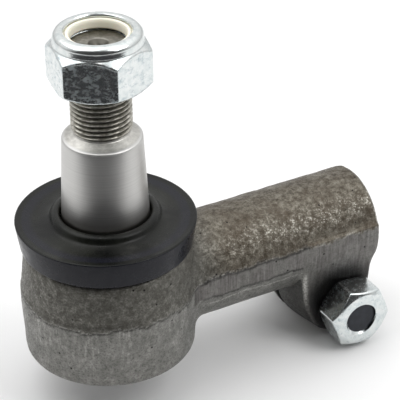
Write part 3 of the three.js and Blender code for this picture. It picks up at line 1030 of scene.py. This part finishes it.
def lower_skin(made, grain, coarse, patches):
    """The greyer skin below the parting line, with upright streaks."""
    skin = made.ramp(coarse, GREY_SCALE)
    skin = made.mix(made.ramp(patches, [(0.35, 0.55), (0.6, 0.0)]), skin, DULL_GREY)
    streaks = made.ramp(made.noise(1.5, 5, 0.75, (1, 1, 0.12)), [(0.5, 0.0), (0.6, 0.8)])
    streaks = made.times(streaks, made.attribute("scored"))
    streaks = made.times(streaks, made.ramp(patches, [(0.42, 0.1), (0.58, 1.0)]))
    skin = made.mix(streaks, skin, STREAK)
    return made.mix(made.ramp(grain, [(0.34, 0.5), (0.48, 0.0)]), skin, GREY_DINT)


def forged_material():
    made = Surface("forged_skin", 0.78, 0.5)
    grain = made.noise(0.6, 3, 0.7)
    coarse = made.noise(2.0, 5, 0.75)
    patches = made.noise(6, 5, 0.65)
    scores = made.noise(0.8, 4, 0.7, (1, 1, 0.07))

    above = upper_skin(made, grain, coarse, patches)
    color = made.mix(made.attribute("below"), above, lower_skin(made, grain, coarse, patches))
    sheared = made.ramp(scores, SHEARED_STEEL)
    sheared = made.mix(made.ramp(coarse, [(0.36, 0.5), (0.5, 0.0)]), sheared, SHEARED_DULL)
    drag = made.ramp(made.attribute("scored"), [(0.62, 0.0), (0.9, 1.0)])
    drag = made.times(drag, made.ramp(patches, [(0.4, 0.4), (0.55, 1.0)]))
    color = made.mix(drag, color, sheared)
    color = made.mix(made.ramp(made.speckle(4.2), [(0.06, 1.0), (0.1, 0.0)]), color, PIT)
    # Painted highlights along the edges that catch the light
    edge_highlight = made.ramp(grain, [(0.42, 0.3), (0.56, 1.0)])
    edge_highlight = made.times(made.attribute("edge_highlight"), edge_highlight)
    color = made.mix(edge_highlight, color, PAINTED_EDGE_HIGHLIGHT)
    # Painted shade and shadow: the crease, the seam, round the clamp nut, the shaded recess, the
    # chamber and the bore
    color = made.mix(made.attribute("painted_shade"), color, PAINTED_SHADE_COLOUR)

    made.link(color, "Base Color")
    made.link(made.ramp(grain, [(0.38, 0.62), (0.62, 0.34)]), "Roughness")
    made.bump(made.mix(made.attribute("scored"), grain, scores), 0.25, 1.0)
    return made.material


ROLLED_STEEL = [(0.35, (0.26, 0.25, 0.215)), (0.5, (0.42, 0.405, 0.36)),
                (0.65, (0.6, 0.585, 0.53))]
# heat colouring and a painted reflection at the cone's foot
CONE_FOOT_TINT_AND_REFLECTION = (0.15, 0.12, 0.095)
# the painted shade in the thread roots and the dimple, also used for the darker end face
PAINTED_SHADE_AND_DARK_END = (0.1, 0.095, 0.083)


def stud_material():
    made = Surface("ground_steel", 1.0, 0.3, anisotropic=0.5)
    rings = made.noise(0.3, 4, 0.6, (0.003, 0.003, 1))
    ground = made.ramp(rings, [(0.3, (0.52, 0.515, 0.5)), (0.7, (0.66, 0.655, 0.64))])
    rolled = made.ramp(made.noise(1.5, 4, 0.65), ROLLED_STEEL)
    # Heat colouring and a painted dark reflection of the seal at the cone's foot
    ground = made.mix(made.attribute("foot_tint_and_reflection"), ground, CONE_FOOT_TINT_AND_REFLECTION)
    color = made.mix(made.attribute("end"), ground, rolled)
    # Painted shade in the thread roots and the dimple, and the darker end face
    color = made.mix(made.attribute("valley"), color, PAINTED_SHADE_AND_DARK_END)
    made.link(color, "Base Color")
    made.link(made.ramp(rings, [(0.3, 0.35), (0.7, 0.46)]), "Roughness")
    made.bump(rings, 0.012, 0.3)
    return made.material


def zinc_material():
    made = Surface("zinc_plate", 1.0, 0.25)
    cloud = made.noise(2.4, 5, 0.7)
    plate = made.ramp(cloud, [(0.3, (0.58, 0.63, 0.635)), (0.5, (0.7, 0.735, 0.73)),
                              (0.7, (0.79, 0.805, 0.795))])
    scuffs = made.ramp(made.noise(2.2, 5, 0.75, (1, 1, 1.6)), [(0.47, 0.0), (0.66, 1.0)])
    scuffs = made.times(scuffs, made.attribute("handled"))
    color = made.mix(made.times(scuffs, 0.4), plate, (0.33, 0.44, 0.5))
    flecks = made.ramp(made.noise(1.4, 4, 0.8), [(0.66, 0.0), (0.76, 0.5)])
    made.link(made.mix(flecks, color, (0.3, 0.33, 0.35)), "Base Color")
    made.link(made.ramp(scuffs, [(0.0, 0.17), (1.0, 0.5)]), "Roughness")
    made.bump(made.noise(1.2, 4, 0.65), 0.07, 0.5)
    return made.material


def rubber_material():
    made = Surface("seal_rubber", 0.0, 0.3, specular_ior_level=0.2)
    cloud = made.ramp(made.noise(16, 3, 0.6), [(0.38, 0.0), (0.62, 1.0)])
    top = made.mix(cloud, (0.002, 0.0025, 0.0022), (0.0105, 0.0115, 0.0085))
    # The side's bluish colour is a painted reflection
    made.link(made.mix(made.attribute("rim"), top, (0.007, 0.0075, 0.012)), "Base Color")
    made.link(made.ramp(made.noise(3, 5, 0.7), [(0.35, 0.2), (0.65, 0.4)]), "Roughness")
    made.bump(made.noise(0.7, 4), 0.02, 0.35)
    return made.material


def nylon_material():
    made = Surface("ivory_nylon", 0.0, 0.42, subsurface_weight=0.15)
    made.shader.inputs["Subsurface Radius"].default_value = (0.002, 0.0015, 0.001)
    cloud = made.noise(4, 3)
    made.link(made.ramp(cloud, [(0.3, (0.95, 0.905, 0.75)), (0.7, (0.98, 0.945, 0.81))]), "Base Color")
    made.bump(made.noise(0.6, 2), 0.02, 0.3)
    return made.material


def plain_material(name, low, high, metallic, roughness, size=3.0, bump=0.03):
    """A cloudy finish between two colours, for the pieces that hardly show."""
    made = Surface(name, metallic, roughness)
    cloud = made.noise(size, 4)
    made.link(made.ramp(cloud, [(0.3, low), (0.7, high)]), "Base Color")
    made.link(made.ramp(cloud, [(0.3, roughness - 0.06), (0.7, roughness + 0.08)]), "Roughness")
    made.bump(made.noise(size / 4, 3), bump, 0.5)
    return made.material


# --- Assembly ------------------------------------------------------------------------------

def dressed(piece, material, node, body):
    """Gives a piece its material, its CAD node and the body that it moves with."""
    piece.data.materials.clear()
    piece.data.materials.append(material)
    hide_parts(node)
    if body:
        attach(piece, body)
    return piece


zinc = zinc_material()
rubber = rubber_material()
black = plain_material("black_oxide", (0.008, 0.0095, 0.014), (0.022, 0.025, 0.034), 0.4, 0.42,
                       size=2.0, bump=0.06)
spring_steel = plain_material("spring_steel", (0.05, 0.052, 0.06), (0.11, 0.11, 0.12), 0.9, 0.4)
cover_steel = plain_material("cover_sheet", (0.3, 0.3, 0.3), (0.44, 0.43, 0.42), 1.0, 0.38, size=6.0)
acetal = plain_material("acetal", (0.66, 0.64, 0.57), (0.76, 0.75, 0.69), 0.0, 0.5)

dressed(make_forging(), forged_material(), "forged_housing", "housing")
dressed(make_stud(), stud_material(), "ball_stud", "stud")
dressed(make_lock_nut(), zinc, "lock_nut", "stud")
dressed(make_insert(), nylon_material(), "nylon_insert", "stud")
dressed(make_clamp_nut(), zinc, "clamp_nut", "housing")
dressed(make_bolt(), black, "clamp_bolt", "housing")
dressed(make_cover(), cover_steel, "closing_cover", "housing")
dressed(make_snap_ring(), spring_steel, "snap_ring", "housing")

seal = dressed(make_seal(), rubber, "dust_seal", None)
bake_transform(seal)

for node, material in (
    ("upper_bearing_shell", acetal), ("lower_bearing_shell", acetal),
    ("disc_spring", spring_steel), ("cover_o_ring", rubber), ("seal_lip_ring", spring_steel),
):
    kept = frame["nodes"][node]
    kept.data.materials.clear()
    kept.data.materials.append(material)


# --- Floor, light and camera -----------------------------------------------------------------

def card(name, width, depth, place, material, glossy_only=False):
    """A flat rectangle of the studio."""
    half_w, half_d = width / 2, depth / 2
    corners = [(-half_w, -half_d, 0), (half_w, -half_d, 0), (half_w, half_d, 0), (-half_w, half_d, 0)]
    mesh = bpy.data.meshes.new(name)
    mesh.from_pydata(corners, [], [(0, 1, 2, 3)])
    made = bpy.data.objects.new(name, mesh)
    bpy.context.scene.collection.objects.link(made)
    made.matrix_world = place
    made.data.materials.append(material)
    if glossy_only:
        made.visible_camera = False
        made.visible_diffuse = False
        made.visible_shadow = False
    return made


def area_light(name, place, target, size, watts):
    data = bpy.data.lights.new(name, "AREA")
    data.shape = "RECTANGLE"
    data.size, data.size_y = size
    data.energy = watts
    made = bpy.data.objects.new(name, data)
    bpy.context.scene.collection.objects.link(made)
    turn = (Vector(target) - Vector(place)).to_track_quat("-Z", "Y")
    made.matrix_world = Matrix.LocRotScale(Vector(place), turn, None)
    return made


CAMERA_AZIMUTH = math.radians(-28.75)
CAMERA_ELEVATION = math.radians(31.84)
CAMERA_ROLL = math.radians(-0.537)
CAMERA_DISTANCE = 0.5068
CAMERA_AIM = Vector((0.02459, -0.01349, 0.04957))
CAMERA_LENS = 154.26


def make_camera():
    a, e = CAMERA_AZIMUTH, CAMERA_ELEVATION
    back = Vector((math.sin(a) * math.cos(e), -math.cos(a) * math.cos(e), math.sin(e)))
    level = Vector((math.cos(a), math.sin(a), 0))
    upright = back.cross(level)
    right = level * math.cos(CAMERA_ROLL) + upright * math.sin(CAMERA_ROLL)
    up = back.cross(right)
    data = bpy.data.cameras.new("camera")
    data.lens = CAMERA_LENS
    data.sensor_width = 36
    data.clip_start, data.clip_end = 0.01, 20
    made = bpy.data.objects.new("camera", data)
    bpy.context.scene.collection.objects.link(made)
    turn = Matrix((right, up, back)).transposed().to_4x4()
    made.matrix_world = Matrix.Translation(CAMERA_AIM + back * CAMERA_DISTANCE) @ turn
    bpy.context.scene.camera = made


TOWARDS_CAMERA = (math.sin(CAMERA_AZIMUTH), -math.cos(CAMERA_AZIMUTH), 0)
FLOOR_SIZE = 6.0
FLOOR_GAP = 0.0005          # the floor's distance below the object
FLAG_SIZE = (0.7, 0.5)      # the dark card in front, which only reflections show
FLAG_REACH = (0.1, 0.6)     # how near and how far in front it lies
HORIZON_LIGHT = 0.6
OVERHEAD_LIGHT = 0.9        # how much brighter the studio is straight up than at the horizon
DARK_ROOM = 0.06            # the share that the unlit side, behind the camera, gives
DARK_FROM, DARK_TO = 0.1, 0.6   # the cosines to the camera at which it begins and is complete


def make_world():
    """A white studio, brightest overhead, with one unlit side, behind the camera."""
    world = bpy.data.worlds.new("studio")
    world.use_nodes = True
    nodes, links = world.node_tree.nodes, world.node_tree.links
    place = nodes.new("ShaderNodeTexCoord").outputs["Generated"]
    along = nodes.new("ShaderNodeVectorMath")
    along.operation = "DOT_PRODUCT"
    along.inputs[1].default_value = TOWARDS_CAMERA
    links.new(place, along.inputs[0])
    axes = nodes.new("ShaderNodeSeparateXYZ")
    links.new(place, axes.inputs[0])
    light = nodes.new("ShaderNodeMapRange")
    light.inputs["To Min"].default_value = HORIZON_LIGHT
    light.inputs["To Max"].default_value = HORIZON_LIGHT + OVERHEAD_LIGHT
    links.new(axes.outputs["Z"], light.inputs["Value"])
    fade = nodes.new("ShaderNodeMapRange")
    fade.inputs["From Min"].default_value = DARK_FROM
    fade.inputs["From Max"].default_value = DARK_TO
    fade.inputs["To Min"].default_value = 1
    fade.inputs["To Max"].default_value = DARK_ROOM
    links.new(along.outputs["Value"], fade.inputs["Value"])
    strength = nodes.new("ShaderNodeMath")
    strength.operation = "MULTIPLY"
    links.new(light.outputs["Result"], strength.inputs[0])
    links.new(fade.outputs["Result"], strength.inputs[1])
    links.new(strength.outputs[0], nodes["Background"].inputs["Strength"])
    nodes["Background"].inputs["Color"].default_value = (1, 1, 1, 1)
    bpy.context.scene.world = world


def before_camera(near, far, height):
    """The placement of a level card in front of the object, between two distances from it."""
    middle = Vector(TOWARDS_CAMERA) * (near + far) / 2 + Vector((0, 0, height))
    return Matrix.Translation(middle) @ Matrix.Rotation(CAMERA_AZIMUTH, 4, "Z")


paper = plain_material("studio_paper", (0.86, 0.86, 0.86), (0.88, 0.88, 0.88), 0.0, 0.8,
                       size=80.0, bump=0.0)
flag = plain_material("studio_flag", (0.01, 0.01, 0.012), (0.02, 0.02, 0.022), 0.0, 0.9,
                      size=80.0, bump=0.0)
floor_z = cad_box[0].z - FLOOR_GAP
card("floor", FLOOR_SIZE, FLOOR_SIZE, Matrix.Translation((0, 0, floor_z)), paper)
card("front_flag", *FLAG_SIZE, before_camera(*FLAG_REACH, floor_z + 0.001), flag, True)
area_light("key", (0.35, -0.45, 0.65), target=(0.03, 0, 0.03), size=(0.45, 0.45), watts=2.0)
area_light("top", (-0.3, 0.2, 0.9), target=(0.02, 0, 0.03), size=(0.9, 0.9), watts=3.0)
make_world()
make_camera()
bpy.context.scene.view_settings.view_transform = "Standard"
